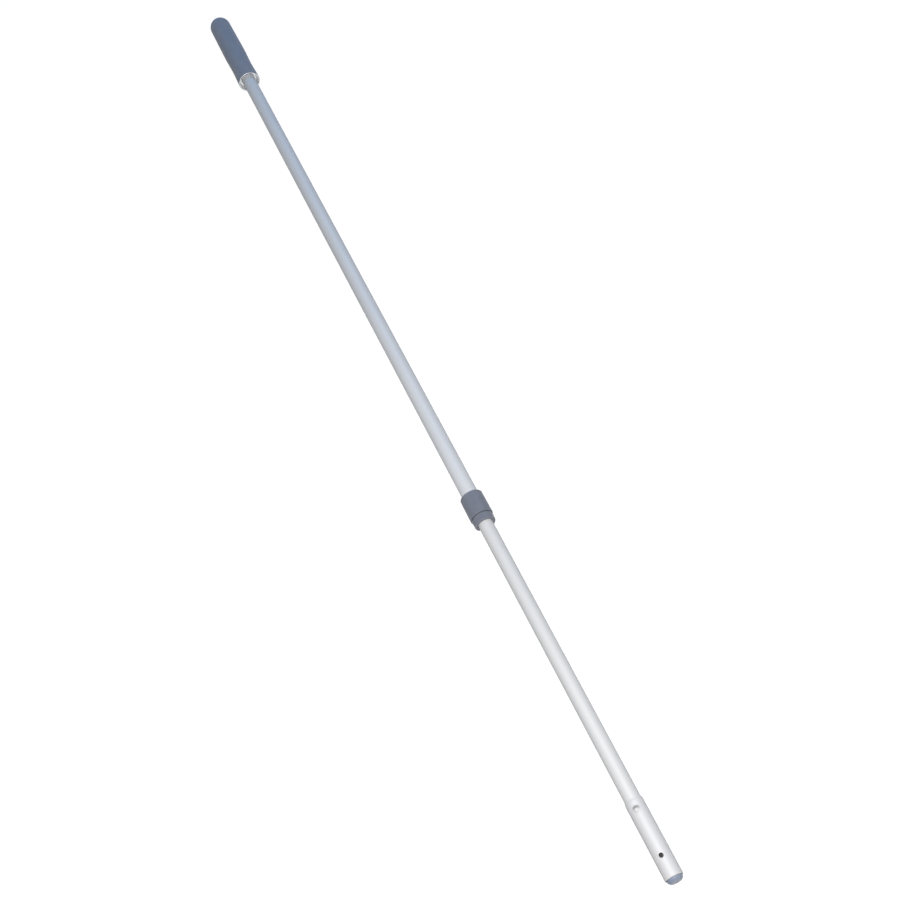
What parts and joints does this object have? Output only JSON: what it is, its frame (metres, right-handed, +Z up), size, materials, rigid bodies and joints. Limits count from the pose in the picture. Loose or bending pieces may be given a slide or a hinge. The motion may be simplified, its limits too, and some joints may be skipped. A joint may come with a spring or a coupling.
{
  "type": "telescopic window cleaning pole",
  "caption": "Telescopic aluminium window cleaning pole with a domed rubber grip, a twist lock under a grey collar and a round tool spigot at the tip",
  "frame": {"origin": "under the middle of the pole's length, on the surface it lies on", "axes": "+X along the pole from the grip to the tip, +Y across it, +Z up, with the button hole on top"},
  "size_m": [1.7064, 0.0382, 0.0382],
  "materials": {
    "blue_anodised": "satin pale blue anodised",
    "bright_anodised": "satin silver anodised",
    "spigot_metal": "satin silver",
    "grip_rubber": "matt dark blue-grey",
    "pale_plastic": "natural white",
    "grey_plastic": "satin slate grey",
    "plug_plastic": "satin blue-grey",
    "black_rubber": "matt black",
    "natural_nylon": "natural nylon",
    "zinc_steel": "bright zinc plated"
  },
  "bodies": {
    "outer_section": {"outer_tube": "blue_anodised", "butt_plug": "grey_plastic", "grip": "grip_rubber", "grip_spacer_rear": "pale_plastic", "grip_spacer_middle": "pale_plastic", "grip_spacer_front": "pale_plastic", "collar": "grey_plastic", "guide_bush": "grey_plastic", "wiper_ring": "black_rubber"},
    "lock_sleeve_body": {"lock_sleeve": "natural_nylon", "drag_ring": "black_rubber"},
    "inner_section": {"inner_tube": "bright_anodised", "lock_plug": "grey_plastic", "lock_stud": "zinc_steel", "plug_pin": "zinc_steel", "stud_washer": "zinc_steel", "stud_nut": "zinc_steel", "tip_sleeve": "spigot_metal", "tip_rivet_upper": "spigot_metal", "tip_rivet_lower": "spigot_metal", "tip_plug": "plug_plastic"},
    "lock_cone_body": {"lock_cone": "natural_nylon"}
  },
  "joints": [
    {"name": "extend", "type": "slide", "parent": "outer_section", "child": "lock_sleeve_body", "axis": [1, 0, 0], "range_m": [-0.3967, 0.6504]},
    {"name": "twist", "type": "hinge", "parent": "lock_sleeve_body", "child": "inner_section", "pos_m": [0, 0, 0.01911], "axis": [1, 0, 0], "range_deg": [-180, 0]},
    {"name": "cone_travel", "type": "slide", "parent": "lock_sleeve_body", "child": "lock_cone_body", "axis": [1, 0, 0], "range_m": [-0.00201, 0]}
  ],
  "couplings": [
    {"joint": "cone_travel", "follows": "twist", "m_per_rad": 0.00063662}
  ]
}
